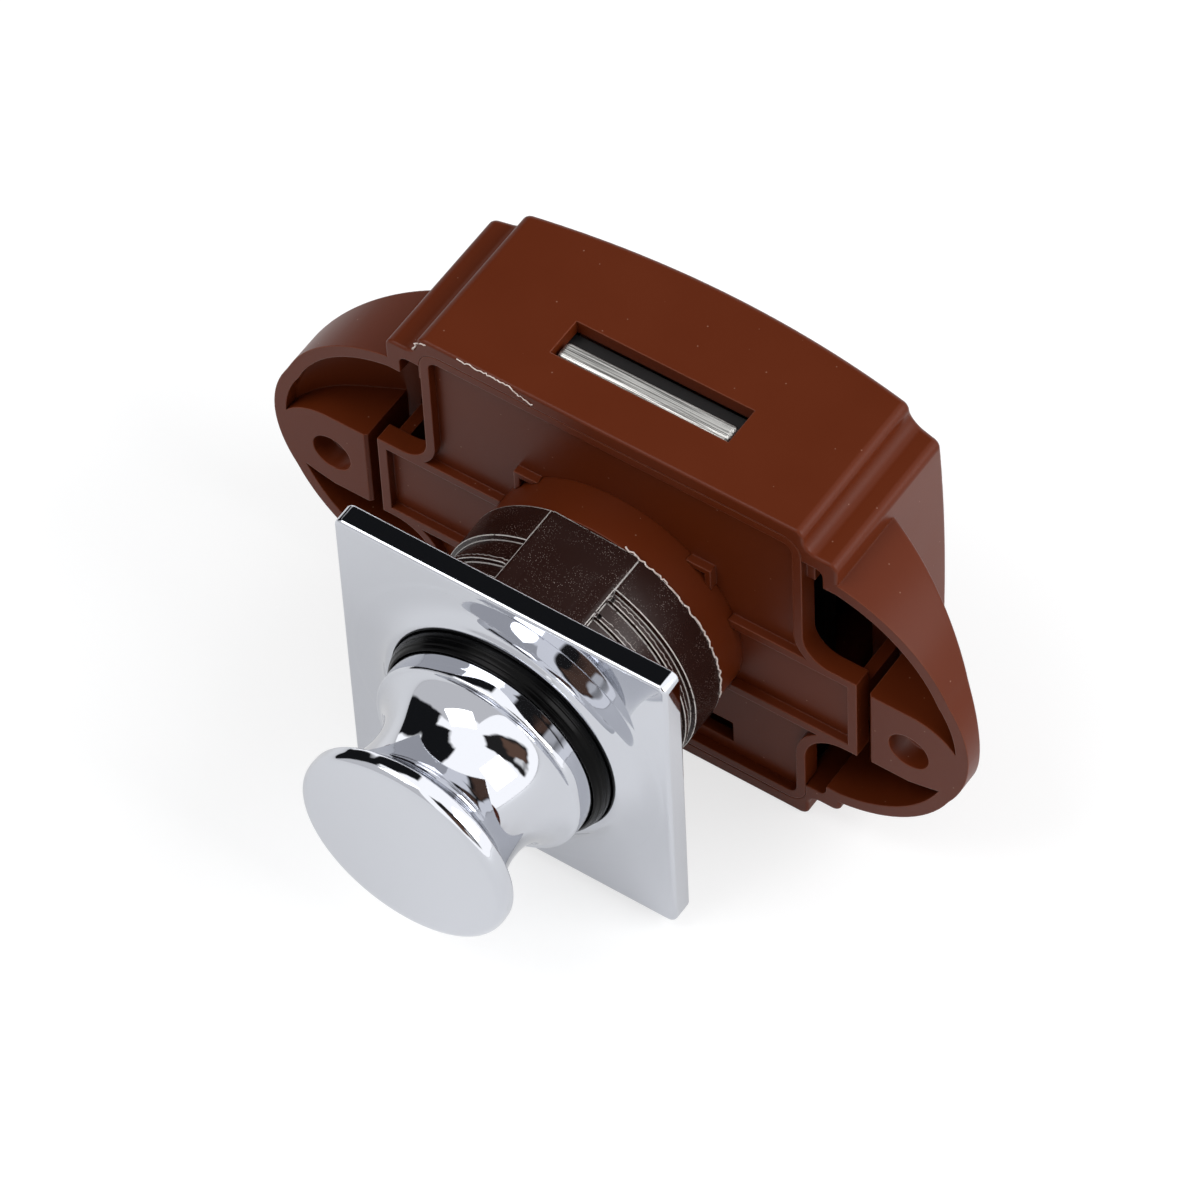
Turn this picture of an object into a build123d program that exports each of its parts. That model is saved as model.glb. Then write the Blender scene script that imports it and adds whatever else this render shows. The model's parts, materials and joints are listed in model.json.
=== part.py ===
from build123d import *
import math
import os

# Push button cabinet lock, in millimetres. +Y goes into the cabinet, +Z is the way the bolt comes out
# and +X is the right ear. The origin lies on the knob's axis, in the face that meets the door's inside.
# The lock is drawn open: the knob stands out and the bolt's tip lies just inside its slot.

# Fits shared by all pieces
overrun = 2.0                  # how far a cutting tool reaches past what it cuts
fit_gap = 0.05                 # gap between pieces that are fixed in each other
slide_gap = 0.10               # gap on each side of a sliding piece
free_gap = 0.30                # gap between pieces that only pass each other
shaft_gap = 0.05               # radial gap of a shaft that turns or slides in its bore

# Travel from open to locked
knob_travel = 8.5
bolt_travel = 7.5

# Housing: a domed block with stepped shoulders and two ears
block_half_width = 20.4
block_top = 22.8
block_bottom = 18.9
block_corner_radius = 0.9
shoulder_width = 3.5
shoulder_drop_top = 2.4        # how far the shoulder lies inside the block, above and below
shoulder_drop_bottom = 3.1
shoulder_hollow_radius = 1.4
housing_depth = 20.5
housing_wall = 1.5
back_wall = 2.1
dome_radius = 105.0            # across the back
dome_height_radius = 200.0     # up and down the back
back_edge_radius = 0.6
rim_edge_radius = 0.3
ear_length = 13.5
ear_root_drop_top = 2.5        # from the shoulder to the ear's outline at its root
ear_root_drop_bottom = 1.6
ear_tip_z = 1.3
ear_root_depth = 9.2
ear_mid_depth = 6.05
ear_tip_depth = 2.0
ear_rim = 1.3
ear_floor = 1.4
ear_edge_radius = 0.4
ear_bend_shares = (0.555, 0.775)     # along the ear, and of its height there
ear_knee_shares = (0.85, 0.435)

# Screw bosses in the ears
screw_setback = 6.2            # from the ear's nose to the screw
screw_drop = 0.95              # below the knob's axis
screw_hole_radius = 2.1
screw_seat_thickness = 2.2
screw_head_radius = 4.0
boss_top = 4.3
boss_bottom = 5.4
boss_gap = 1.25                # between the front plate's arm and the boss
boss_chamfer = 0.3
boss_end_setback = 1.1         # from the ear's nose to the ends of its two hollows
boss_end_top = 1.75
boss_end_bottom = 3.9
boss_bend_share = 0.62         # along from the screw to the hollow's end
boss_bend_top_share = 0.70     # of the boss's height there
boss_bend_bottom_share = 0.45

# Bolt slot in the housing's top wall
slot_gap = 0.25
slot_room = 1.85               # behind the bolt

# Front plate: a plus-shaped cover with raised ribs
plate_side_inset = 0.25        # inside the block's sides
plate_end_inset = 1.6          # inside the block's top and bottom
plate_corner_radius = 2.0
arm_length = 5.6
arm_top = 4.85
arm_bottom = 5.65
arm_upper_radius = 3.0
arm_lower_radius = 4.4
plate_thickness = 2.0
rib_height = 0.9
rib_width = 0.95
frame_rib_width = 0.6          # round the upper half of the window
low_slot_half_width = 11.8     # of the slot below the window
low_slot_top = 12.0
low_slot_bottom = 14.8
arm_hook_thickness = 1.2
arm_hook_half_width = 2.9
arm_hook_barb = 0.6
arm_hook_catch = 0.6
side_hook_width = 2.6
side_hook_length = 2.4
side_hook_thickness = 0.9
side_hook_drop = 2.8           # below the plate's top
bolt_rail_width = 1.2
bolt_rail_length = 7.5
low_rail_length = 3.4

# Knob: its radius sets the bush, the sleeve and the rosette's mouth
knob_radius = 10.9
knob_head_length = 11.7        # from the flange's front to the disc's front
disc_thickness = 2.0
disc_edge_radius = 0.8
disc_back_radius = 0.35
waist_radius = 8.0
waist_setback = 3.9            # from the flange's front to the narrowest place
flange_standout = 2.2          # how far the flange stands out of the bush
flange_edge_radius = 0.4
skirt_wall = 1.5
skirt_floor_setback = 3.0      # from the flange's front to the skirt's floor
knob_boss_radius = 4.6
knob_boss_standout = 1.2       # how far the skirt reaches past the boss
stroke_end_gap = 0.5           # left at the end of the knob's stroke

# Bush that guides the knob, in the sleeve and in the rosette's mouth
bush_nose_wall = 0.80
bush_tip_wall = 0.25           # where its rounded nose ends
bush_wall = 1.05
bush_standout = 1.7            # in front of the rosette's mouth
bush_bulge_share = 0.68        # of the nose's taper, halfway along it
bush_overlap = 7.25            # of its skirt, in the sleeve

# Barrel: round collar and neck in front of the plate, square guide behind it
collar_radius = 13.1
collar_front = 3.3
neck_bore_gap = 0.2            # round the knob
neck_length = 6.0
barrel_floor = 5.0
guide_corner_radius = 4.0
guide_back = 4.9
guide_wall = 1.8               # beside the carrier
guide_wing_width = 1.4
guide_wing_thickness = 1.3
guide_wing_half_length = 4.5

# Threaded sleeve on the barrel's neck
sleeve_wall = 1.4
sleeve_plain_length = 4.0
sleeve_flat_half_width = 4.2
sleeve_turn = -3.0             # degrees that its flats stand turned from upright
thread_pitch = 2.15
thread_depth = 0.8
thread_crest_share = 0.30      # of the pitch
thread_root_share = 0.62

# Rosette that screws onto the sleeve, and the room for the door in front of the collar
door_room = 11.5
rosette_side = 35.0
rosette_thickness = 2.4
rosette_corner_radius = 0.9
rosette_edge_radius = 0.35
rosette_grip = 1.6
rosette_step = 0.6
rosette_flare_width = 4.3
rosette_flare_sag_share = 0.22
mouth_wall = 0.6
mouth_height = 0.8

# Stem with its nuts and washer
stem_radius = 2.0
stem_engagement = 11.2         # inside the knob
nut_across_flats = 7.0
nut_thickness = 2.4
trapped_nut_thickness = 2.0
washer_radius = 4.6
washer_thickness = 0.5

# Carrier: the moulded block that the knob pushes
carrier_half_width = 7.8
carrier_half_height = 6.9
carrier_front = 8.0
carrier_chamfer = 0.8
pocket_radius = 4.0
carrier_front_wall = 4.4
groove_depth = 2.4
track_depth = 1.3
track_swing = 2.0
track_notch = 1.3

# Bolt plate: steel, with a window round the carrier and a cam tooth on each side of it
bolt_half_width = 9.15
bolt_thickness = 2.0
bolt_room = 0.45               # between the barrel's guide and the bolt
bolt_tip_depth = 0.45
bolt_corner_radius = 0.6
frame_side_bar = 3.9
frame_top_bar = 3.8
frame_bottom_bar = 1.3
window_headroom = 0.6
tooth_size = 2.0

# Bolt guide, its screws and the buffer under the bolt
guide_plate_inset = 1.3        # inside the block's inner sides
guide_plate_thickness = 1.7
guide_lip = 1.2
guide_opening_room = 1.2       # over the catch wire
post_radius = 2.5
post_inset = 3.7               # from the block's inner sides
post_top_inset = 7.1           # from the block's inner top
post_bottom_inset = 4.5
guide_screw_radius = 0.9
guide_screw_head_radius = 1.7
guide_screw_head = 0.9
guide_screw_share = 0.65       # of its post's length
buffer_height = 0.8
buffer_half_width = 10.0

# Main spring and its seat
spring_mean_radius = 3.2
spring_wire_radius = 0.4
spring_turns = 11
seat_radius = 3.8
seat_thickness = 0.5
pad_radius = 5.2
pad_height = 0.8
spring_pin_radius = 2.2
spring_pin_length = 3.4

# Catch wire with its pivot block and leaf, and the leaf that steadies the bolt
wire_radius = 0.5
wire_bend_radius = 0.8
wire_tip_setback = 7.1         # from the carrier's back to the wire's tip
wire_pivot_setback = 2.4       # from the back wall
wire_leg = 3.4
pivot_half_width = 2.6
pivot_height = 3.8
pivot_front = 1.6
leaf_thickness = 0.25
leaf_half_width = 1.6
leaf_length = 8.2
steady_half_length = 6.0
steady_width = 2.4
steady_thickness = 0.3

# Places that follow from the sizes above
shoulder_half_width = block_half_width + shoulder_width
shoulder_top = block_top - shoulder_drop_top
shoulder_bottom = block_bottom - shoulder_drop_bottom
ear_reach = shoulder_half_width + ear_length
ear_top_root = shoulder_top - ear_root_drop_top
ear_bottom_root = shoulder_bottom - ear_root_drop_bottom
screw_x = ear_reach - screw_setback
inner_half_width = block_half_width - housing_wall
inner_top = block_top - housing_wall
inner_bottom = block_bottom - housing_wall
inner_depth = housing_depth - back_wall
plate_half_width = block_half_width - plate_side_inset
plate_top = block_top - plate_end_inset
plate_bottom = block_bottom - plate_end_inset
arm_reach = plate_half_width + arm_length
boss_inner_x = arm_reach + boss_gap
neck_bore_radius = knob_radius + neck_bore_gap
bush_nose_radius = knob_radius + shaft_gap + bush_nose_wall
bush_tip_radius = knob_radius + shaft_gap + bush_tip_wall
bush_radius = knob_radius + shaft_gap + bush_wall
neck_radius = bush_radius
sleeve_bore_radius = neck_radius + slide_gap
sleeve_radius = sleeve_bore_radius + sleeve_wall
mouth_radius = bush_nose_radius + mouth_wall
rosette_flare_radius = mouth_radius + rosette_flare_width
rosette_back = collar_front + door_room
rosette_front = rosette_back + rosette_thickness
sleeve_front = rosette_back + rosette_grip
mouth_front = rosette_front + mouth_height
bush_front = mouth_front + bush_standout
bush_shoulder = sleeve_front + rosette_step - fit_gap
bush_back = bush_shoulder - bush_overlap
flange_front = bush_front + flange_standout
knob_front = flange_front + knob_head_length
waist_place = flange_front + waist_setback
skirt_back = barrel_floor + knob_travel + stroke_end_gap
skirt_floor = flange_front - skirt_floor_setback
knob_boss_back = skirt_back + knob_boss_standout
stem_front = knob_boss_back + stem_engagement
pad_front = inner_depth - pad_height
seat_front = pad_front - seat_thickness
carrier_back = pad_front - knob_travel - free_gap - slide_gap
pocket_bottom = carrier_front - carrier_front_wall
guide_half_width = carrier_half_width + slide_gap + guide_wall
window_half_width = guide_half_width + 2 * slide_gap
bolt_front = guide_back + bolt_room
bolt_back = bolt_front + bolt_thickness
bolt_middle = bolt_front + bolt_thickness / 2
cam_start_z = -bolt_travel / 2
wire_z = carrier_half_height + free_gap + wire_radius
wire_tip_y = carrier_back - wire_tip_setback
wire_pivot_y = inner_depth - wire_pivot_setback
leaf_z = wire_z + wire_radius + fit_gap
bolt_window_half = carrier_half_width + free_gap
bolt_window_low = -carrier_half_height - free_gap - bolt_travel
bolt_window_high = wire_z + wire_radius + window_headroom
frame_half_width = bolt_window_half + frame_side_bar
frame_top = bolt_window_high + frame_top_bar
guide_plate_front = bolt_back + slide_gap
guide_plate_back = guide_plate_front + guide_plate_thickness
guide_plate_half_width = inner_half_width - guide_plate_inset
guide_opening_top = wire_z + wire_radius + guide_opening_room
guide_screw_length = guide_screw_share * (inner_depth - guide_plate_back)
post_x = inner_half_width - post_inset
post_top_z = inner_top - post_top_inset
post_bottom_z = inner_bottom - post_bottom_inset


def layer(sketch, y_front, y_back):
    """A flat sketch, its x along X and its y along Z, made solid between two depths."""
    plane = Plane(origin=(0, y_back, 0), x_dir=(1, 0, 0), z_dir=(0, -1, 0))
    return extrude(plane * sketch, y_back - y_front)


def tube(outer, inner, y_front, y_back):
    """A round tube about the knob's axis."""
    return layer(Circle(outer) - Circle(inner), y_front, y_back)


def bar(radius, y_front, y_back, x=0.0, z=0.0):
    """A round bar along Y."""
    return layer(Pos(x, z) * Circle(radius), y_front, y_back)


def slab(x_span, y_span, z_span):
    """A box between its three pairs of faces."""
    spans = (x_span, y_span, z_span)
    size = [high - low for low, high in spans]
    middle = [(high + low) / 2 for low, high in spans]
    return Pos(*middle) * Box(*size)


def turned(curve):
    """A closed profile of radius and depth, turned about the knob's axis."""
    return revolve(make_face(curve), Axis.Y)


def both_ears(solid):
    """A solid at the right ear and its mirror image at the left one."""
    return solid + mirror(solid, Plane.YZ)


def block_outline(inset):
    """The block and its stepped shoulders from the front, drawn in by a wall."""
    x_block = block_half_width - inset
    x_shoulder = shoulder_half_width - inset
    top = block_top - inset
    low = inset - block_bottom
    step_top = shoulder_top - inset
    step_low = inset - shoulder_bottom
    right = [
        (x_block, top), (x_block, step_top), (x_shoulder, step_top),
        (x_shoulder, step_low), (x_block, step_low), (x_block, low),
    ]
    left = [(-x, z) for x, z in reversed(right)]
    half_radii = [block_corner_radius, shoulder_hollow_radius, block_corner_radius]
    radii = (half_radii + half_radii[::-1]) * 2
    return make_face(FilletPolyline(*right, *left, radius=radii, close=True))


def dome(inset):
    """The space in front of the back, which is domed both ways, drawn in by a wall."""
    crown = housing_depth - inset
    radius = dome_radius - inset
    half = shoulder_half_width + overrun
    side = crown - radius + math.sqrt(radius ** 2 - half ** 2)
    edges = Polyline((half, side), (half, -overrun), (-half, -overrun), (-half, side))
    back = ThreePointArc((-half, side), (0, crown), (half, side))
    swing = math.degrees(2 * block_top / dome_height_radius)
    centre = Pos(0, housing_depth - dome_height_radius, 0)
    profile = centre * Rot(-swing, 0, 0) * centre.inverse() * make_face(edges + back)
    return revolve(profile, Axis((0, housing_depth - dome_height_radius, 0), (1, 0, 0)), 2 * swing)


def ear_point(shares, root_height):
    """A point of the ear's outline from its shares of the ear's length and of its height at the root."""
    along, up = shares
    x = shoulder_half_width + along * (ear_reach - shoulder_half_width)
    return (x, ear_tip_z + up * (root_height - ear_tip_z))


def ear_outline():
    """The right ear from the front: a long arc above, the nose, and a long arc below."""
    inner = shoulder_half_width - housing_wall - ear_rim - overrun
    top = (shoulder_half_width, ear_top_root)
    low = (shoulder_half_width, -ear_bottom_root)
    knee_top = ear_point(ear_knee_shares, ear_top_root)
    knee_low = ear_point(ear_knee_shares, -ear_bottom_root)
    upper = ThreePointArc(top, ear_point(ear_bend_shares, ear_top_root), knee_top)
    nose = ThreePointArc(knee_top, (ear_reach, ear_tip_z), knee_low)
    lower = ThreePointArc(knee_low, ear_point(ear_bend_shares, -ear_bottom_root), low)
    root = Polyline(low, (inner, -ear_bottom_root), (inner, ear_top_root), top)
    return make_face(upper + nose + lower + root)


def ear_depth(inset):
    """The space in front of the ear's curved back, drawn in by its floor."""
    inner = shoulder_half_width - housing_wall - ear_rim - overrun
    middle = (shoulder_half_width + ear_reach) / 2
    root = (shoulder_half_width, ear_root_depth - inset)
    tip = (ear_reach, ear_tip_depth - inset)
    back = ThreePointArc(root, (middle, ear_mid_depth - inset), tip)
    edges = Polyline(tip, (ear_reach, -overrun), (inner, -overrun), (inner, ear_root_depth - inset), root)
    return extrude(make_face(back + edges), ear_top_root + ear_bottom_root, both=True)


def ear_back_edges(ear):
    """The edges of the ear's curved back that show outside the shoulder."""
    back = ear.faces().sort_by(SortBy.AREA).filter_by(GeomType.CYLINDER)[-1]
    return [edge for edge in back.edges() if edge.center().X > shoulder_half_width + ear_edge_radius]


def boss_outline():
    """The screw boss from the front: a bar that runs into the rim at the ear's nose."""
    end_x = ear_reach - boss_end_setback
    bend_x = screw_x + boss_bend_share * (end_x - screw_x)
    top_bend = boss_end_top + boss_bend_top_share * (boss_top - boss_end_top)
    low_bend = boss_end_bottom + boss_bend_bottom_share * (boss_bottom - boss_end_bottom)
    top = ThreePointArc((screw_x, boss_top), (bend_x, top_bend), (end_x, boss_end_top))
    low = ThreePointArc((end_x, -boss_end_bottom), (bend_x, -low_bend), (screw_x, -boss_bottom))
    nose = Polyline(
        (end_x, boss_end_top), (ear_reach, boss_end_top),
        (ear_reach, -boss_end_bottom), (end_x, -boss_end_bottom))
    root = Polyline(
        (screw_x, -boss_bottom), (boss_inner_x, -boss_bottom), (boss_inner_x, boss_top), (screw_x, boss_top))
    return make_face(top + nose + low + root)


def plate_outline():
    """The plus-shaped front plate from the front."""
    right = [
        (plate_half_width, plate_top), (plate_half_width, arm_top), (arm_reach, arm_top),
        (arm_reach, -arm_bottom), (plate_half_width, -arm_bottom), (plate_half_width, -plate_bottom),
    ]
    left = [(-x, z) for x, z in reversed(right)]
    upper = min(arm_upper_radius, arm_length - slide_gap)
    lower = min(arm_lower_radius, arm_length - slide_gap)
    right_radii = [plate_corner_radius, upper, 0, 0, lower, plate_corner_radius]
    radii = right_radii + right_radii[::-1]
    return make_face(FilletPolyline(*right, *left, radius=radii, close=True))


def arm_hook():
    """The snap hook behind the right arm, with its barb outwards."""
    x_high = arm_reach - slide_gap
    x_low = x_high - arm_hook_thickness
    floor_back = ear_floor_back()
    leg = slab((x_low, x_high), (plate_thickness, floor_back), (-arm_hook_half_width, arm_hook_half_width))
    barb_span = (floor_back - arm_hook_catch, floor_back)
    barb = slab((x_high, x_high + arm_hook_barb), barb_span, (-arm_hook_half_width, arm_hook_half_width))
    return leg + barb


def ear_floor_back():
    """The depth at which the arm's hook ends, just inside the ear's back."""
    along = (arm_reach + arm_hook_barb - shoulder_half_width) / (ear_reach - shoulder_half_width)
    return ear_root_depth - along * (ear_root_depth - ear_tip_depth) - slide_gap


def snap_window():
    """The stepped window in the ear's floor that the arm's hook snaps into."""
    z_span = (-arm_hook_half_width - free_gap, arm_hook_half_width + free_gap)
    x_low = arm_reach - slide_gap - arm_hook_thickness - free_gap
    narrow = slab((x_low, arm_reach + slide_gap), (plate_thickness, housing_depth), z_span)
    ledge = ear_floor_back() - arm_hook_catch - slide_gap
    wide = slab((x_low, arm_reach + arm_hook_barb + slide_gap), (ledge, housing_depth), z_span)
    return narrow + wide


def make_housing():
    """The moulded housing: block, ears, bosses, bolt slot, guide posts, spring pin and wire pivot."""
    block = layer(block_outline(0), 0, housing_depth) & dome(0)
    block = fillet(block.faces().sort_by(Axis.Y)[-1].edges(), back_edge_radius)
    block = fillet(block.faces().sort_by(Axis.Y)[0].edges(), rim_edge_radius)
    ear = layer(ear_outline(), 0, ear_root_depth) & ear_depth(0)
    ear = fillet(ear_back_edges(ear), ear_edge_radius)
    body = block + both_ears(ear)
    cavity = layer(block_outline(housing_wall), -overrun, inner_depth) & dome(housing_wall)
    body -= cavity
    hollow_outline = offset(ear_outline(), -ear_rim) - boss_outline()
    hollow = layer(hollow_outline, -overrun, ear_root_depth) & ear_depth(ear_floor)
    hollow += snap_window()
    seat_back = bar(screw_head_radius, screw_seat_thickness, ear_root_depth + overrun, screw_x, -screw_drop)
    hollow += seat_back + bar(screw_hole_radius, -overrun, ear_root_depth, screw_x, -screw_drop)
    boss_front_edge = Polyline(
        (boss_inner_x, 0), (boss_inner_x + boss_chamfer, 0), (boss_inner_x, boss_chamfer), (boss_inner_x, 0))
    hollow += extrude(make_face(boss_front_edge), boss_bottom, both=True)
    body -= both_ears(hollow)
    body -= layer(offset(plate_outline(), fit_gap), -overrun, plate_thickness)
    slot_x = (-bolt_half_width - slot_gap, bolt_half_width + slot_gap)
    slot_y = (bolt_front - free_gap, bolt_back + slot_room)
    body -= slab(slot_x, slot_y, (inner_top - overrun, block_top + overrun))
    return body + housing_inside(block)


def housing_inside(block):
    """What stands on the housing's back wall, kept inside the block."""
    inside = bar(pad_radius, pad_front, housing_depth - fit_gap)
    inside += bar(spring_pin_radius, pad_front - spring_pin_length, pad_front)
    screw_end = guide_plate_back + guide_screw_length
    for x in (-post_x, post_x):
        for z in (-post_bottom_z, post_top_z):
            post = bar(post_radius, guide_plate_back, housing_depth, x, z)
            inside += post - bar(guide_screw_radius, guide_plate_back, screw_end, x, z)
    low = leaf_z + leaf_thickness + fit_gap
    pivot_span = (wire_pivot_y - pivot_front, housing_depth)
    pivot = slab((-pivot_half_width, pivot_half_width), pivot_span, (low, low + pivot_height))
    pivot -= Pos(0, wire_pivot_y, low) * Cylinder(wire_radius + shaft_gap, 2 * pivot_height + overrun)
    return (inside + pivot) & block


def make_front_plate():
    """The ribbed plus-shaped cover with its window, snap hooks and rear rails for the bolt."""
    outline = plate_outline()
    inner = offset(outline, -rib_width)
    window = Rectangle(2 * window_half_width, 2 * window_half_width)
    frame_reach = window_half_width + frame_rib_width
    frame = Pos(0, frame_reach / 2) * Rectangle(2 * frame_reach, frame_reach)
    low_slot_middle = (low_slot_top + low_slot_bottom) / 2
    window += Pos(0, -low_slot_middle) * Rectangle(2 * low_slot_half_width, low_slot_bottom - low_slot_top)
    plate = layer(outline, 0, plate_thickness)
    recess = inner - frame
    for z in (arm_top - rib_width / 2, rib_width / 2 - arm_bottom):
        recess -= Pos(0, z) * Rectangle(2 * arm_reach, rib_width)
    plate -= layer(recess, -overrun, rib_height)
    plate -= bar(collar_radius + fit_gap, -overrun, rib_height)
    plate -= layer(window, -overrun, plate_thickness + overrun)
    extras = arm_hook()
    side_x = (plate_half_width - fit_gap, plate_half_width - fit_gap + side_hook_thickness)
    side_z = plate_top - side_hook_drop
    extras += slab(side_x, (rib_height, rib_height + side_hook_length), (side_z - side_hook_width, side_z))
    rail_x = (window_half_width + slide_gap, window_half_width + slide_gap + bolt_rail_width)
    rail_y = (plate_thickness, bolt_front - slide_gap)
    rail_top = plate_top - housing_wall - plate_corner_radius
    extras += slab(rail_x, rail_y, (rail_top - bolt_rail_length, rail_top))
    extras += slab(rail_x, rail_y, (slide_gap - low_slot_top, slide_gap - low_slot_top + low_rail_length))
    return plate + both_ears(extras)


def make_barrel():
    """The barrel: collar and bored neck, and the square guide that passes through the plate's window."""
    neck_front = collar_front + neck_length
    neck = bar(neck_radius, -neck_front, -collar_front) + bar(collar_radius, -collar_front, rib_height)
    square = RectangleRounded(2 * guide_half_width, 2 * guide_half_width, guide_corner_radius)
    guide = layer(square, rib_height, guide_back)
    wing_y = (plate_thickness + fit_gap, plate_thickness + fit_gap + guide_wing_thickness)
    wing_x = (guide_half_width - fit_gap, guide_half_width + guide_wing_width)
    wings = both_ears(slab(wing_x, wing_y, (-guide_wing_half_length, guide_wing_half_length)))
    body = neck + guide + wings
    body -= bar(neck_bore_radius, -neck_front - overrun, -barrel_floor)
    hole = Rectangle(2 * (carrier_half_width + slide_gap), 2 * (carrier_half_height + slide_gap))
    body -= layer(hole, -barrel_floor - overrun, guide_back + overrun)
    swing = track_swing + wire_radius + free_gap
    wire_way_y = (wire_tip_y - wire_radius - free_gap, guide_back + overrun)
    body -= slab((-swing, swing), wire_way_y, (0, guide_half_width + overrun))
    return body


def thread_groove(y_middle):
    """One groove of the sleeve's thread, drawn as a closed ring."""
    root = sleeve_radius - thread_depth
    root_half = thread_pitch * (1 - thread_root_share) / 2
    crest_half = thread_pitch * (1 - thread_crest_share) / 2
    outer = sleeve_radius + fit_gap
    profile = Polyline(
        (root, y_middle - root_half), (root, y_middle + root_half), (sleeve_radius, y_middle + crest_half),
        (outer, y_middle + crest_half), (outer, y_middle - crest_half),
        (sleeve_radius, y_middle - crest_half), (root, y_middle - root_half))
    return turned(profile)


def make_sleeve():
    """The threaded sleeve with two flats, pressed onto the barrel's neck."""
    body = tube(sleeve_radius, sleeve_bore_radius, -sleeve_front, -collar_front)
    plain_front = collar_front + sleeve_plain_length
    turns = int((sleeve_front - plain_front) / thread_pitch)
    for turn in range(turns):
        body -= thread_groove(-plain_front - (turn + 0.5) * thread_pitch)
    flat_z = math.sqrt(sleeve_radius ** 2 - sleeve_flat_half_width ** 2)
    for side in (-1, 1):
        z_span = sorted((side * flat_z, side * (sleeve_radius + overrun)))
        y_span = (-sleeve_front - overrun, -collar_front + overrun)
        body -= slab((-sleeve_radius, sleeve_radius), y_span, z_span)
    return Rot(0, sleeve_turn, 0) * body


def make_rosette():
    """The square rosette: a plate with rounded edges and a raised mouth that flares into it."""
    outline = RectangleRounded(rosette_side, rosette_side, rosette_corner_radius)
    plate = layer(outline, -rosette_front, -rosette_back)
    plate = fillet(plate.faces().sort_by(Axis.Y)[0].edges(), rosette_edge_radius)
    sag_r = mouth_radius + rosette_flare_sag_share * (rosette_flare_radius - mouth_radius)
    sag_y = -rosette_front - rosette_flare_sag_share * mouth_height
    flare = ThreePointArc((rosette_flare_radius, -rosette_front), (sag_r, sag_y), (mouth_radius, -mouth_front))
    close = Polyline(
        (mouth_radius, -mouth_front), (bush_nose_radius + fit_gap, -mouth_front),
        (bush_nose_radius + fit_gap, -rosette_back), (rosette_flare_radius, -rosette_back),
        (rosette_flare_radius, -rosette_front))
    body = plate + turned(flare + close)
    body -= bar(bush_nose_radius + fit_gap, -mouth_front - overrun, -rosette_back + overrun)
    body -= bar(sleeve_bore_radius, -sleeve_front - rosette_step, -rosette_back + overrun)
    return body - bar(sleeve_radius + fit_gap, -sleeve_front, -rosette_back + overrun)


def make_bush():
    """The black bush: its nose stands out of the rosette, its skirt lies in the sleeve."""
    bore = knob_radius + shaft_gap
    taper_start = mouth_front + shaft_gap
    bulge_radius = bush_tip_radius + bush_bulge_share * (bush_nose_radius - bush_tip_radius)
    bulge = (bulge_radius, -(taper_start + bush_front) / 2)
    taper = ThreePointArc((bush_nose_radius, -taper_start), bulge, (bush_tip_radius, -bush_front))
    rest = Polyline(
        (bush_tip_radius, -bush_front), (bore, -bush_front), (bore, -bush_back), (bush_radius, -bush_back),
        (bush_radius, -bush_shoulder), (bush_nose_radius, -bush_shoulder), (bush_nose_radius, -taper_start))
    return turned(taper + rest)


def make_knob():
    """The turned knob: thin disc, drawn-in waist, flange and hollow skirt with a boss for the stem."""
    back = knob_front - disc_thickness
    edge = disc_edge_radius
    diagonal = math.sqrt(0.5)
    face = Line((0, -knob_front), (knob_radius - edge, -knob_front))
    rim_bend = (knob_radius - edge + edge * diagonal, -knob_front + edge - edge * diagonal)
    front_rim = ThreePointArc(
        (knob_radius - edge, -knob_front), rim_bend, (knob_radius, -knob_front + edge))
    rim = Polyline(
        (knob_radius, -knob_front + edge), (knob_radius, -back - disc_back_radius),
        (knob_radius - disc_back_radius, -back))
    waist = Spline(
        (knob_radius - disc_back_radius, -back), (waist_radius, -waist_place),
        (knob_radius - flange_edge_radius, -flange_front),
        tangents=((-knob_radius, waist_radius / 2), (waist_radius, waist_radius / 4)))
    skirt = Polyline(
        (knob_radius - flange_edge_radius, -flange_front),
        (knob_radius, -flange_front + flange_edge_radius),
        (knob_radius, -skirt_back), (knob_radius - skirt_wall, -skirt_back),
        (knob_radius - skirt_wall, -skirt_floor), (knob_boss_radius, -skirt_floor),
        (knob_boss_radius, -knob_boss_back), (0, -knob_boss_back), (0, -knob_front))
    body = turned(face + front_rim + rim + waist + skirt)
    return body - bar(stem_radius + fit_gap, -stem_front - fit_gap, -knob_boss_back + overrun)


def hexagon(across_flats):
    """A nut's outline."""
    return RegularPolygon(across_flats / 2, 6, major_radius=False)


def make_nut(y_front, thickness):
    """A hexagon nut on the stem."""
    return layer(hexagon(nut_across_flats) - Circle(stem_radius + fit_gap), y_front, y_front + thickness)


def cam_groove():
    """The inclined groove in the carrier's right side that the bolt's tooth rides in."""
    slope = math.atan2(bolt_travel, knob_travel)
    run = math.hypot(bolt_travel, knob_travel)
    width = tooth_size * (math.cos(slope) + math.sin(slope)) + 2 * slide_gap
    middle_y = bolt_middle - knob_travel / 2
    middle_z = cam_start_z + bolt_travel / 2
    floor = carrier_half_width - groove_depth
    shape = Pos(middle_y, middle_z) * Rot(0, 0, -math.degrees(slope)) * SlotCenterToCenter(run, width)
    plane = Plane(origin=(floor, 0, 0), x_dir=(0, 1, 0), z_dir=(1, 0, 0))
    return extrude(plane * shape, groove_depth + overrun)


def track_leg(start, end):
    """One leg of the catch track, sunk in the carrier's top face."""
    width = 2 * wire_radius + free_gap
    leg = make_face(Polyline(*leg_corners(start, end, width / 2)))
    leg += Pos(*start) * Circle(width / 2)
    leg += Pos(*end) * Circle(width / 2)
    return extrude(Pos(0, 0, carrier_half_height - track_depth) * leg, track_depth + overrun)


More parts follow.
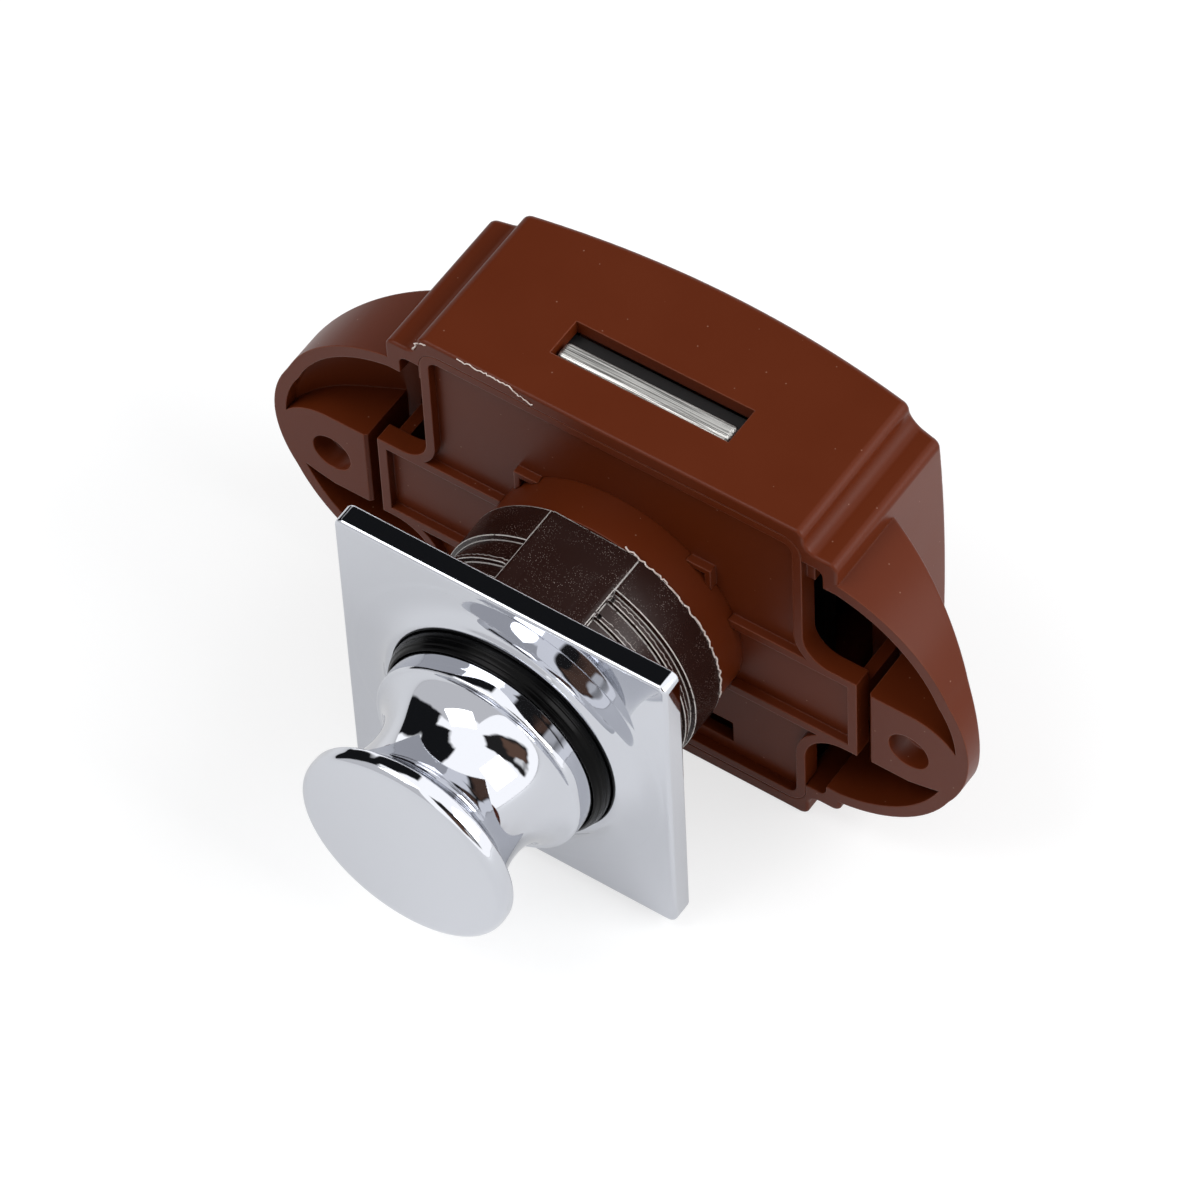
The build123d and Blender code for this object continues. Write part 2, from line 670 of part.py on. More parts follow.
def leg_corners(start, end, half_width):
    """The four corners of a straight leg, and the first one again."""
    along = Vector(*end) - Vector(*start)
    side = along.normalized().rotate(Axis.Z, 90) * half_width
    corners = [Vector(*start) + side, Vector(*end) + side, Vector(*end) - side, Vector(*start) - side]
    return corners + corners[:1]


def make_carrier():
    """The carrier: cam grooves on its sides, heart-shaped catch track on top, spring pocket behind."""
    body = slab(
        (-carrier_half_width, carrier_half_width), (-carrier_front, carrier_back),
        (-carrier_half_height, carrier_half_height))
    body = chamfer(body.edges().filter_by(Axis.Y), carrier_chamfer)
    body -= bar(pocket_radius, -pocket_bottom, carrier_back + overrun)
    nut_y = -pocket_bottom - trapped_nut_thickness
    body -= layer(hexagon(nut_across_flats + 2 * fit_gap), nut_y, -pocket_bottom + overrun)
    body -= bar(stem_radius + fit_gap, -carrier_front - overrun, -pocket_bottom)
    body -= both_ears(cam_groove())
    top = wire_tip_y - knob_travel
    points = [(0, wire_tip_y), (track_swing, top), (0, top + track_notch), (-track_swing, top)]
    for start, end in zip(points, points[1:] + points[:1]):
        body -= track_leg(start, end)
    return body


def make_bolt_plate():
    """The stamped bolt: tongue, window frame and two cam teeth."""
    low = bolt_window_low - frame_bottom_bar
    tip = block_top - bolt_tip_depth
    tongue_height = tip - frame_top
    tongue = Pos(0, frame_top + tongue_height / 2) * Rectangle(2 * bolt_half_width, tongue_height)
    tongue = fillet(tongue.vertices().sort_by(Axis.Y)[-2:], bolt_corner_radius)
    frame_height = frame_top - low
    frame = Pos(0, low + frame_height / 2) * Rectangle(2 * frame_half_width, frame_height)
    window_height = bolt_window_high - bolt_window_low
    window = Pos(0, bolt_window_low + window_height / 2) * Rectangle(2 * bolt_window_half, window_height)
    sheet = tongue + frame - window
    tooth_tip = carrier_half_width - groove_depth + free_gap
    tooth_length = bolt_window_half - tooth_tip
    for side in (-1, 1):
        place = side * (tooth_tip + tooth_length / 2)
        sheet += Pos(place, cam_start_z) * Rectangle(tooth_length, tooth_size)
    return layer(sheet, bolt_front, bolt_back)


def make_bolt_guide():
    """The guide behind the bolt: a plate with side lips, screwed to the housing's posts."""
    top = inner_top - free_gap
    low = free_gap - inner_bottom
    x_span = (-guide_plate_half_width, guide_plate_half_width)
    body = slab(x_span, (guide_plate_front, guide_plate_back), (low, top))
    lip_x = (frame_half_width + slide_gap, frame_half_width + slide_gap + guide_lip)
    body += both_ears(slab(lip_x, (bolt_front, guide_plate_front), (low, top)))
    opening_z = (-carrier_half_height - free_gap, guide_opening_top)
    body -= slab((-bolt_window_half, bolt_window_half), (bolt_front, housing_depth), opening_z)
    for x in (-post_x, post_x):
        for z in (-post_bottom_z, post_top_z):
            body -= bar(guide_screw_radius + fit_gap, 0, housing_depth, x, z)
    return body - steady_pocket(fit_gap)


def steady_pocket(gap):
    """The room for the steadying leaf in the guide's front face, or with no gap the leaf itself."""
    z_low = guide_opening_top + steady_thickness
    x_span = (-steady_half_length - gap, steady_half_length + gap)
    y_span = (guide_plate_front - gap, guide_plate_front + steady_thickness + gap)
    return slab(x_span, y_span, (z_low - gap, z_low + steady_width + gap))


def make_guide_screws():
    """Four small screws that hold the bolt guide."""
    screws = []
    for x in (-post_x, post_x):
        for z in (-post_bottom_z, post_top_z):
            head = bar(guide_screw_head_radius, guide_plate_front - guide_screw_head, guide_plate_front, x, z)
            shank_end = guide_plate_back + guide_screw_length - fit_gap
            screws.append(head + bar(guide_screw_radius - fit_gap, guide_plate_front, shank_end, x, z))
    return Compound(children=screws)


def make_main_spring():
    """The push-out spring between the carrier's pocket and the seat on the back wall."""
    length = seat_front + pocket_bottom - 2 * spring_wire_radius
    pitch = length / spring_turns
    helix = Helix(pitch, length, spring_mean_radius)
    section = Plane(origin=helix @ 0, z_dir=helix % 0) * Circle(spring_wire_radius)
    coil = sweep(section, path=helix, is_frenet=True)
    return Pos(0, seat_front - spring_wire_radius, 0) * Rot(90, 0, 0) * coil


def make_catch_wire():
    """The bent wire whose tip follows the carrier's track and whose leg turns in the pivot block."""
    tip_z = carrier_half_height - track_depth + slide_gap
    route = FilletPolyline(
        (0, wire_tip_y, tip_z), (0, wire_tip_y, wire_z), (0, wire_pivot_y, wire_z),
        (0, wire_pivot_y, wire_z + wire_leg), radius=wire_bend_radius)
    section = Plane(origin=route @ 0, z_dir=route % 0) * Circle(wire_radius)
    return sweep(section, path=route)


def make_catch_leaf():
    """The leaf under the pivot block that keeps the wire's tip in its track."""
    back = wire_pivot_y + pivot_front / 2
    z_span = (leaf_z, leaf_z + leaf_thickness)
    leaf = slab((-leaf_half_width, leaf_half_width), (back - leaf_length, back), z_span)
    hole = Pos(0, wire_pivot_y, leaf_z) * Cylinder(wire_radius + free_gap / 2, 2 * leaf_thickness + overrun)
    return leaf - hole


def make_buffer():
    """The rubber strip that the bolt plate rests on when the lock is open."""
    z_span = (-inner_bottom, buffer_height - inner_bottom)
    return slab((-buffer_half_width, buffer_half_width), (bolt_front, bolt_back), z_span)


def make_parts():
    """Every piece under its own name."""
    return {
        "housing": make_housing(),
        "front_plate": make_front_plate(),
        "barrel": make_barrel(),
        "threaded_sleeve": make_sleeve(),
        "rosette": make_rosette(),
        "knob_bush": make_bush(),
        "knob": make_knob(),
        "knob_stem": bar(stem_radius, -stem_front, -pocket_bottom),
        "stem_washer": tube(
            washer_radius, stem_radius + fit_gap, -carrier_front - washer_thickness, -carrier_front),
        "stem_lock_nut": make_nut(-carrier_front - washer_thickness - nut_thickness, nut_thickness),
        "carrier_nut": make_nut(-pocket_bottom - trapped_nut_thickness, trapped_nut_thickness),
        "carrier": make_carrier(),
        "bolt_plate": make_bolt_plate(),
        "bolt_guide": make_bolt_guide(),
        "guide_screws": make_guide_screws(),
        "bolt_buffer": make_buffer(),
        "bolt_steady_leaf": steady_pocket(0),
        "main_spring": make_main_spring(),
        "spring_seat": tube(seat_radius, spring_pin_radius + fit_gap, seat_front, pad_front),
        "catch_wire": make_catch_wire(),
        "catch_leaf": make_catch_leaf(),
    }


os.makedirs("parts", exist_ok=True)
for name, solid in make_parts().items():
    export_step(solid, f"parts/{name}.step")
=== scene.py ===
import json
import math
import random

import bpy
from mathutils import Matrix, Vector

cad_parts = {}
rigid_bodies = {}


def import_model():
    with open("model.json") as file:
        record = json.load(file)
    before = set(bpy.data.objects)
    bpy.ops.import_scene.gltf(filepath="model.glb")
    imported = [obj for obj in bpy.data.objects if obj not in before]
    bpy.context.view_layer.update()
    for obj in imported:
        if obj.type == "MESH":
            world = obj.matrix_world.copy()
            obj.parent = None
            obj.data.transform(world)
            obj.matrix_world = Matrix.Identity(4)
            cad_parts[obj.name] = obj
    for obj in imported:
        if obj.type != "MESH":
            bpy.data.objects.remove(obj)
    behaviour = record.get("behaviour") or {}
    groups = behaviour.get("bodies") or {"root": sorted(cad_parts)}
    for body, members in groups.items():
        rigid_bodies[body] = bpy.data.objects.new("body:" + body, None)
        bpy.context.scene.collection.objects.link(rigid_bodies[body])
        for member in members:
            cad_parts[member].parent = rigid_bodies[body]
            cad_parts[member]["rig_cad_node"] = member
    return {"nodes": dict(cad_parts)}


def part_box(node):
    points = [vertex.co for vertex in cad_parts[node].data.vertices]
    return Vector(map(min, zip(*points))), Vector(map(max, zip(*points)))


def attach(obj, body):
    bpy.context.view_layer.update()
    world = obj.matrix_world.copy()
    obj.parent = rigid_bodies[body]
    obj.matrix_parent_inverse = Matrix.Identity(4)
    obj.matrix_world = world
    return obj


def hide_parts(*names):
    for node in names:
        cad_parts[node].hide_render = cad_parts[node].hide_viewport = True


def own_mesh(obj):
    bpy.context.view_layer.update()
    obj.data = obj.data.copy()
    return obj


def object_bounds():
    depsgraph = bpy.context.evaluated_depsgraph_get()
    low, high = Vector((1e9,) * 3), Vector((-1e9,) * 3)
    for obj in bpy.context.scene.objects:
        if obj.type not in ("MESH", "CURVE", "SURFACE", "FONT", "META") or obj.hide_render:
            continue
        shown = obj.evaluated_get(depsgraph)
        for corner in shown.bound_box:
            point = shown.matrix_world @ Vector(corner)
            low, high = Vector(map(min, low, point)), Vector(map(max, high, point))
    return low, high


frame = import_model()

cad_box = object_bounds()

# The camera looks down on the lock from the front right, from two thirds of a metre away, through a long
# lens, so that the lock's lines hardly converge.
mm = 0.001
camera_turn = math.radians(36.62)
camera_rise = math.radians(52.78)
camera_roll = math.radians(-3.20)
camera_distance = 660.1 * mm
camera_aside = -1.34 * mm
camera_up = -0.60 * mm
camera_lens = 221.1            # mm of focal length on a 36 mm sensor
clip_share = 0.1               # of the way to the lock, from where on the lens sees
back = Vector((
    math.sin(camera_turn) * math.cos(camera_rise),
    -math.cos(camera_turn) * math.cos(camera_rise),
    math.sin(camera_rise)))
level = Vector((math.cos(camera_turn), math.sin(camera_turn), 0))
upright = back.cross(level)
aside = level * math.cos(camera_roll) + upright * math.sin(camera_roll)
above = upright * math.cos(camera_roll) - level * math.sin(camera_roll)
camera_place = back * camera_distance + aside * camera_aside + above * camera_up
camera_turned = Matrix((aside, above, back)).transposed().to_euler()
bpy.ops.object.camera_add(location=camera_place, rotation=camera_turned)
camera = bpy.context.object
camera.data.lens = camera_lens
camera.data.clip_start = clip_share * camera_distance
bpy.context.scene.camera = camera
bpy.context.scene.view_settings.view_transform = "Standard"


# The floor is a sheet of white paper under the lock. The eye and polished metal see it bleached by the
# light of the studio, with the lock's soft shadow kept.
paper_size = 3.0
paper_gap = 0.02 * mm          # under the lowest point of the lock
bleach = 0.56                  # share of the bleaching light in what the eye sees of the paper
bleach_light = 1.18
gloss_share = 0.50             # of that share, in what polished metal mirrors


def linear(hex_colour):
    """An sRGB colour such as "#5A2A18" as linear red, green, blue and a full alpha."""
    parts = [int(hex_colour[place:place + 2], 16) / 255 for place in (1, 3, 5)]
    return [c / 12.92 if c <= 0.04045 else ((c + 0.055) / 1.055) ** 2.4 for c in parts] + [1.0]


def add_node(tree, kind, inputs=None, **settings):
    """One node with its settings; an input is a value, or another node's output to link to."""
    made = tree.nodes.new(kind)
    for name, value in settings.items():
        setattr(made, name, value)
    for socket, value in (inputs or {}).items():
        if isinstance(value, bpy.types.NodeSocket):
            tree.links.new(value, made.inputs[socket])
        else:
            made.inputs[socket].default_value = value
    return made


def new_material(name):
    """A material with an empty node tree, and that tree."""
    material = bpy.data.materials.new(name)
    material.use_nodes = True
    material.node_tree.nodes.clear()
    return material, material.node_tree


bpy.ops.object.select_all(action="DESELECT")
bpy.ops.mesh.primitive_plane_add(size=paper_size, location=(0, 0, cad_box[0].z - paper_gap))
floor = bpy.context.object
floor.name = "floor"
paper, tree = new_material("white_studio_paper")
matt = add_node(tree, "ShaderNodeBsdfDiffuse", {"Color": linear("#F4F5F6")})
glow = add_node(tree, "ShaderNodeEmission", {"Color": linear("#FFFFFF"), "Strength": bleach_light})
path = add_node(tree, "ShaderNodeLightPath")
mirrored = add_node(
    tree, "ShaderNodeMath", {0: path.outputs["Is Glossy Ray"], 1: gloss_share}, operation="MULTIPLY")
looks = add_node(tree, "ShaderNodeMath", {0: path.outputs["Is Camera Ray"], 1: mirrored.outputs[0]})
looks = add_node(tree, "ShaderNodeMath", {0: looks.outputs[0], 1: path.outputs["Is Transmission Ray"]})
share = add_node(
    tree, "ShaderNodeMath", {0: looks.outputs[0], 1: bleach}, operation="MULTIPLY", use_clamp=True)
bleached = add_node(
    tree, "ShaderNodeMixShader", {0: share.outputs[0], 1: matt.outputs[0], 2: glow.outputs[0]})
add_node(tree, "ShaderNodeOutputMaterial", {"Surface": bleached.outputs[0]})
floor.data.materials.append(paper)


# The studio: an even room that fills the shadows, and two large soft boxes, one behind on the right and one
# high on the left. Gloss sees white boards above the table, and a grey wall, dark gaps and a brown board
# between them.
room_light = 0.46
board_light = 1.6
sway = 0.16                    # radians by which the boards' edges wander
sway_scale = 2.6               # how many waves that wander has
edge_blur = 0.035              # radians, half the width of a board's soft edge
boards = (
    # turn from +Y towards +X, half width, rise and half height in degrees, and colour; the last is nearest
    (-141, 41, 24, 34, "#E6E6E8"),
    (-81, 22, 20, 28, "#1B1C1E"),
    (-43, 34, 48, 18, "#1B1C1E"),
    (129, 22, 40, 28, "#2B2A2A"),
    (134, 12, 27, 13, "#6E5548"),
    (120, 5, 21, 7, "#FFFFFF"),
)
boxes = (
    # place, width, height and watts
    (Vector((0.807, 0.142, 0.574)), 0.70, 0.60, 7.0),
    (Vector((-0.33, -0.40, 0.86)), 0.60, 0.50, 3.6),
)
mix_share, mix_first, mix_second, mixed = 0, 6, 7, 2    # where a colour mix has its inputs and its result
world = bpy.data.worlds.new("studio")
bpy.context.scene.world = world
world.use_nodes = True
tree = world.node_tree
tree.nodes.clear()
path = add_node(tree, "ShaderNodeLightPath")
sky = add_node(tree, "ShaderNodeTexCoord")
waves = add_node(tree, "ShaderNodeTexNoise", {"Vector": sky.outputs["Generated"], "Scale": sway_scale})
swayed = add_node(tree, "ShaderNodeMapRange", {"Value": waves.outputs[0], "To Min": -sway, "To Max": sway})
compass = add_node(tree, "ShaderNodeSeparateXYZ", {"Vector": sky.outputs["Generated"]})
turn = add_node(
    tree, "ShaderNodeMath", {0: compass.outputs["X"], 1: compass.outputs["Y"]}, operation="ARCTAN2")
turn = add_node(tree, "ShaderNodeMath", {0: turn.outputs[0], 1: swayed.outputs[0]})
rise = add_node(tree, "ShaderNodeMath", {0: compass.outputs["Z"]}, operation="ARCSINE")
rise = add_node(tree, "ShaderNodeMath", {0: rise.outputs[0], 1: swayed.outputs[0]})
seen = [board_light] * 3 + [1.0]
for board_turn, half_width, board_rise, half_height, colour in boards:
    inside = 1.0
    for angle, middle, half in ((turn, board_turn, half_width), (rise, board_rise, half_height)):
        off = add_node(
            tree, "ShaderNodeMath", {0: angle.outputs[0], 1: math.radians(middle)}, operation="SUBTRACT")
        off = add_node(tree, "ShaderNodeMath", {0: off.outputs[0]}, operation="ABSOLUTE")
        cover = add_node(tree, "ShaderNodeMapRange", {
            "Value": off.outputs[0], "From Min": math.radians(half) + edge_blur,
            "From Max": math.radians(half) - edge_blur})
        inside = add_node(
            tree, "ShaderNodeMath", {0: cover.outputs[0], 1: inside}, operation="MULTIPLY").outputs[0]
    seen = add_node(tree, "ShaderNodeMix", {
        mix_share: inside, mix_first: seen, mix_second: linear(colour)}, data_type="RGBA").outputs[mixed]
room = add_node(tree, "ShaderNodeMix", {
    mix_share: path.outputs["Is Glossy Ray"], mix_first: [room_light] * 3 + [1.0], mix_second: seen},
    data_type="RGBA")
air = add_node(tree, "ShaderNodeBackground", {"Color": room.outputs[mixed]})
add_node(tree, "ShaderNodeOutputWorld", {"Surface": air.outputs[0]})
for place, width, height, watts in boxes:
    facing = place.to_track_quat("Z", "Y").to_euler()
    bpy.ops.object.light_add(type="AREA", location=place, rotation=facing)
    box = bpy.context.object
    box.data.shape = "RECTANGLE"
    box.data.size = width
    box.data.size_y = height
    box.data.energy = watts


# The housing, its front plate and the barrel are moulded in chestnut brown ABS. The mould gives them a
# satin gloss with a faint orange peel; their edges are rounded a little and carry a paler painted highlight,
# and a few specks of dust cling to them.
abs_round = 0.18 * mm          # how round the mould leaves an edge
abs_reach = 0.8 * mm           # what stands nearer than this keeps an edge from the painted highlight
# share of the painted highlight's paler colour on the most open edges
abs_highlight = 0.55                # share of the worn colour on the barest edges
peel_size = 0.30 * mm
peel_depth = 0.01 * mm
cloud_size = 12 * mm
dust_spacing = 1.7 * mm
dust_rim, dust_core = 0.050, 0.035    # of a speck, as shares of that spacing
curve_angle = math.radians(28)        # a moulded surface that bends less than this is a curve
corner_gap = 0.001 * mm               # corners nearer to each other than this are one


def highlighted_edges(tree, radius, turned_from, turned_to, reach, open_from, open_to, most):
    """The normal of rounded edges, and how much painted highlight each gets: where the rounding turns the
    surface away, and where the air is open round it."""
    form = add_node(tree, "ShaderNodeNewGeometry")
    rounding = add_node(tree, "ShaderNodeBevel", {"Radius": radius}, samples=6)
    facing = add_node(tree, "ShaderNodeVectorMath", {
        0: rounding.outputs[0], 1: form.outputs["Normal"]}, operation="DOT_PRODUCT")
    edge = add_node(tree, "ShaderNodeMapRange", {
        "Value": facing.outputs["Value"], "From Min": turned_from, "From Max": turned_to, "To Max": most})
    openness = add_node(tree, "ShaderNodeAmbientOcclusion", {"Distance": reach}, samples=4)
    outward = add_node(tree, "ShaderNodeMapRange", {
        "Value": openness.outputs["AO"], "From Min": open_from, "From Max": open_to})
    edge_highlight = add_node(tree, "ShaderNodeMath", {0: edge.outputs[0], 1: outward.outputs[0]}, operation="MULTIPLY")
    return rounding.outputs[0], edge_highlight.outputs[0]


brown_abs, tree = new_material("moulded_abs_satin_brown")
place = add_node(tree, "ShaderNodeTexCoord")
rounded, edge_highlight = highlighted_edges(
    tree, abs_round, turned_from=0.995, turned_to=0.80, reach=abs_reach, open_from=0.75, open_to=0.98,
    most=abs_highlight)
clouds = add_node(tree, "ShaderNodeTexNoise", {
    "Vector": place.outputs["Object"], "Scale": 1 / cloud_size, "Detail": 3.0})
flow = add_node(tree, "ShaderNodeMix", {
    mix_share: clouds.outputs[0], mix_first: linear("#55200A"), mix_second: linear("#5D250C")},
    data_type="RGBA")
# the paler colour on the open, rounded edges is a painted highlight
edged = add_node(tree, "ShaderNodeMix", {
    mix_share: edge_highlight, mix_first: flow.outputs[mixed], mix_second: linear("#94543C")}, data_type="RGBA")
dots = add_node(tree, "ShaderNodeTexVoronoi", {
    "Vector": place.outputs["Object"], "Scale": 1 / dust_spacing})
speck = add_node(tree, "ShaderNodeMapRange", {
    "Value": dots.outputs["Distance"], "From Min": dust_rim, "From Max": dust_core, "To Max": 0.30})
dusty = add_node(tree, "ShaderNodeMix", {
    mix_share: speck.outputs[0], mix_first: edged.outputs[mixed], mix_second: linear("#C49A86")},
    data_type="RGBA")
peel = add_node(tree, "ShaderNodeTexNoise", {
    "Vector": place.outputs["Object"], "Scale": 1 / peel_size, "Detail": 2.0})
skin = add_node(tree, "ShaderNodeBump", {
    "Height": peel.outputs[0], "Strength": 0.25, "Distance": peel_depth, "Normal": rounded})
satin = add_node(tree, "ShaderNodeMapRange", {"Value": clouds.outputs[0], "To Min": 0.30, "To Max": 0.40})
plastic = add_node(tree, "ShaderNodeBsdfPrincipled", {
    "Base Color": dusty.outputs[mixed], "Roughness": satin.outputs[0], "Normal": skin.outputs[0],
    "IOR": 1.50, "Specular IOR Level": 0.15})
add_node(tree, "ShaderNodeOutputMaterial", {"Surface": plastic.outputs[0]})


def even_flats(piece):
    """Weigh the shading by area, so that flat faces stay flat beside their rounded edges."""
    weighted = piece.modifiers.new("flats", "WEIGHTED_NORMAL")
    weighted.keep_sharp = True
    bpy.ops.object.modifier_apply(modifier=weighted.name)


def finish(piece, material, body):
    """Dress a piece and let it ride on its body."""
    piece.data.materials.clear()
    piece.data.materials.append(material)
    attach(piece, body)


def piece_from(node, name, material, body):
    """A copy of a node of the lock, with its corners merged and its curves smooth, which stands for it."""
    source = frame["nodes"][node]
    bpy.ops.object.select_all(action="DESELECT")
    source.select_set(True)
    bpy.context.view_layer.objects.active = source
    bpy.ops.object.duplicate()
    piece = bpy.context.object
    piece.name = name
    del piece["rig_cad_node"]
    bpy.ops.object.parent_clear(type="CLEAR_KEEP_TRANSFORM")
    bpy.ops.mesh.customdata_custom_splitnormals_clear()
    bpy.ops.object.mode_set(mode="EDIT")
    bpy.ops.mesh.select_all(action="SELECT")
    bpy.ops.mesh.remove_doubles(threshold=corner_gap)
    bpy.ops.object.mode_set(mode="OBJECT")
    bpy.ops.object.shade_smooth_by_angle(angle=curve_angle)
    even_flats(piece)
    finish(piece, material, body)
    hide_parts(node)
    return piece


piece_from("housing", "housing_moulding", brown_abs, "case")
piece_from("front_plate", "front_plate_moulding", brown_abs, "case")
piece_from("barrel", "barrel_moulding", brown_abs, "case")


# The threaded sleeve is glass-filled nylon, dark brown with a glossy skin in which fine glitter shows. Its
# helical thread was run out of the mould by turning, which tore the crests' edges; a silvery highlight is
# painted along them. The glitter is drawn several times coarser than the real fibres' ends, which would be
# too fine to show.
sleeve_radius = 13.5 * mm
sleeve_root = 13.05 * mm
sleeve_bore = 12.1 * mm
sleeve_back = -3.3 * mm
sleeve_front = -16.4 * mm
collar_front = -7.2 * mm       # of the plain collar behind the thread
collar_slope = 0.2 * mm
flat_height = 12.68 * mm       # where the tube is sawn off, under the flats' own faces
flat_turn = math.radians(-3)
flat_outline = (
    # across and up in mm, of the solid face over each cut
    (-4.68, 12.0), (-2.0, 12.25), (2.0, 12.25), (4.68, 12.0), (4.68, 12.67), (4.2, 12.83), (-4.2, 12.83),
    (-4.68, 12.67))
flat_inset = 0.01 * mm         # of that face, from each end of the sleeve
pitch = 2.15 * mm
turns = 4
thread_start = -7.65 * mm
thread_foot = 12.75 * mm       # the tooth stands this deep in the tube
thread_cut = 12.50 * mm        # and ends under the flats
crest_width = 0.42 * mm
foot_width = 0.80 * mm
tear_length = 0.09 * mm
tear_share = 0.85              # of the corners that the turning tool could tear
tube_steps = 120
thread_steps = 220
nylon_round = 0.16 * mm
nylon_reach = 0.5 * mm
highlight_break_size = 0.5 * mm
glitter_size = 0.16 * mm
glitter_depth = 0.012 * mm
glitter_patch = 2.5 * mm
sleeve_nylon, tree = new_material("glass_filled_nylon_dark_brown")
place = add_node(tree, "ShaderNodeTexCoord")
rounded, edge_highlight = highlighted_edges(
    tree, nylon_round, turned_from=0.995, turned_to=0.95, reach=nylon_reach, open_from=0.55, open_to=0.80,
    most=1.0)
# the silvery colour on the crests' edges is a painted highlight, broken up by this noise
torn = add_node(tree, "ShaderNodeTexNoise", {
    "Vector": place.outputs["Object"], "Scale": 1 / highlight_break_size, "Detail": 4.0})
highlight_breaks = add_node(tree, "ShaderNodeMapRange", {"Value": torn.outputs[0], "From Min": 0.30, "From Max": 0.38})
crest_highlight = add_node(tree, "ShaderNodeMath", {0: edge_highlight, 1: highlight_breaks.outputs[0]}, operation="MULTIPLY")
glitter = add_node(tree, "ShaderNodeTexVoronoi", {
    "Vector": place.outputs["Object"], "Scale": 1 / glitter_size})
grain = add_node(tree, "ShaderNodeMapRange", {
    "Value": glitter.outputs["Distance"], "From Min": 0.22, "From Max": 0.12, "To Max": 0.85})
patches = add_node(tree, "ShaderNodeTexNoise", {
    "Vector": place.outputs["Object"], "Scale": 1 / glitter_patch, "Detail": 3.0})
patch = add_node(tree, "ShaderNodeMapRange", {
    "Value": patches.outputs[0], "From Min": 0.40, "From Max": 0.62})
sparkle = add_node(
    tree, "ShaderNodeMath", {0: grain.outputs[0], 1: patch.outputs[0]}, operation="MULTIPLY")
speckled = add_node(tree, "ShaderNodeMix", {
    mix_share: sparkle.outputs[0], mix_first: linear("#24120E"), mix_second: linear("#A5958E")},
    data_type="RGBA")
edged = add_node(tree, "ShaderNodeMix", {
    mix_share: crest_highlight.outputs[0], mix_first: speckled.outputs[mixed], mix_second: linear("#EFEAE6")},
    data_type="RGBA")
skin = add_node(tree, "ShaderNodeBump", {
    "Height": glitter.outputs["Distance"], "Strength": 0.30, "Distance": glitter_depth, "Normal": rounded})
plastic = add_node(tree, "ShaderNodeBsdfPrincipled", {
    "Base Color": edged.outputs[mixed], "Roughness": 0.26, "Normal": skin.outputs[0], "IOR": 1.53,
    "Specular IOR Level": 0.25})
add_node(tree, "ShaderNodeOutputMaterial", {"Surface": plastic.outputs[0]})


def line_of(name, points):
    """A chain of edges through points, extruded from a single corner."""
    bpy.ops.object.select_all(action="DESELECT")
    bpy.ops.mesh.primitive_plane_add(size=mm)
    piece = bpy.context.object
    piece.name = name
    bpy.ops.object.mode_set(mode="EDIT")
    bpy.ops.mesh.merge(type="CENTER")
    bpy.ops.transform.translate(value=points[0])
    for start, end in zip(points, points[1:]):
        bpy.ops.mesh.extrude_vertices_move(TRANSFORM_OT_translate={"value": Vector(end) - Vector(start)})
    bpy.ops.object.mode_set(mode="OBJECT")
    return piece


def turned(name, profile, steps, level):
    """A closed profile of radii and depths, spun about the knob's axis and smoothed."""
    piece = line_of(name, [(radius, depth, 0) for radius, depth in profile])
    bpy.ops.object.mode_set(mode="EDIT")
    bpy.ops.mesh.select_all(action="SELECT")
    bpy.ops.mesh.spin(steps=steps, angle=2 * math.pi, center=(0, 0, 0), axis=(0, 1, 0))
    bpy.ops.mesh.select_all(action="SELECT")
    bpy.ops.mesh.remove_doubles(threshold=2 * corner_gap)
    bpy.ops.mesh.normals_make_consistent(inside=False)
    bpy.ops.object.mode_set(mode="OBJECT")
    if level:
        rounder = piece.modifiers.new("rounder", "SUBSURF")
        rounder.levels = level
        rounder.render_levels = level
        bpy.ops.object.modifier_apply(modifier=rounder.name)
    return piece


def cut_flats(piece, height):
    """Saw a closed shape off at two flats of the given height, and close the cuts."""
    bpy.ops.object.mode_set(mode="EDIT")
    for side in (-1, 1):
        normal = (-side * math.sin(flat_turn), 0, side * math.cos(flat_turn))
        bpy.ops.mesh.select_all(action="SELECT")
        bpy.ops.mesh.bisect(
            plane_co=Vector(normal) * height, plane_no=normal, use_fill=True, clear_outer=True)
    bpy.ops.mesh.select_all(action="SELECT")
    bpy.ops.mesh.normals_make_consistent(inside=False)
    bpy.ops.object.mode_set(mode="OBJECT")


tube = turned("sleeve_tube", (
    (sleeve_bore, sleeve_back), (sleeve_radius, sleeve_back), (sleeve_radius, collar_front),
    (sleeve_root, collar_front - collar_slope), (sleeve_root, sleeve_front), (sleeve_bore, sleeve_front),
    (sleeve_bore, sleeve_back)), tube_steps, 0)
bpy.ops.object.shade_smooth_by_angle(angle=curve_angle)

# The thread: a tooth's outline, turned on edge and wound forward, with its two ends closed.
tooth = line_of("sleeve_thread", [
    (thread_foot, thread_start, 0),
    (thread_foot, thread_start - foot_width, 0),
    (sleeve_radius, thread_start - (foot_width + crest_width) / 2, 0),
    (sleeve_radius, thread_start - (foot_width - crest_width) / 2, 0),
    (thread_foot, thread_start, 0)])
bpy.ops.object.mode_set(mode="EDIT")
bpy.ops.mesh.select_all(action="SELECT")
bpy.ops.mesh.remove_doubles(threshold=corner_gap)
bpy.ops.transform.rotate(value=math.pi / 2, orient_axis="Y", center_override=(0, 0, 0))
bpy.ops.object.mode_set(mode="OBJECT")
corners = [corner.co.copy() for corner in tooth.data.vertices]
crest = [i for i, place in enumerate(corners) if place.xz.length > (sleeve_radius + thread_foot) / 2]
rear_corner = max(crest, key=lambda i: corners[i].y)
winding = tooth.modifiers.new("winding", "SCREW")
winding.axis = "Y"
winding.screw_offset = -pitch
winding.iterations = turns
winding.steps = thread_steps
winding.render_steps = thread_steps
winding.use_merge_vertices = False
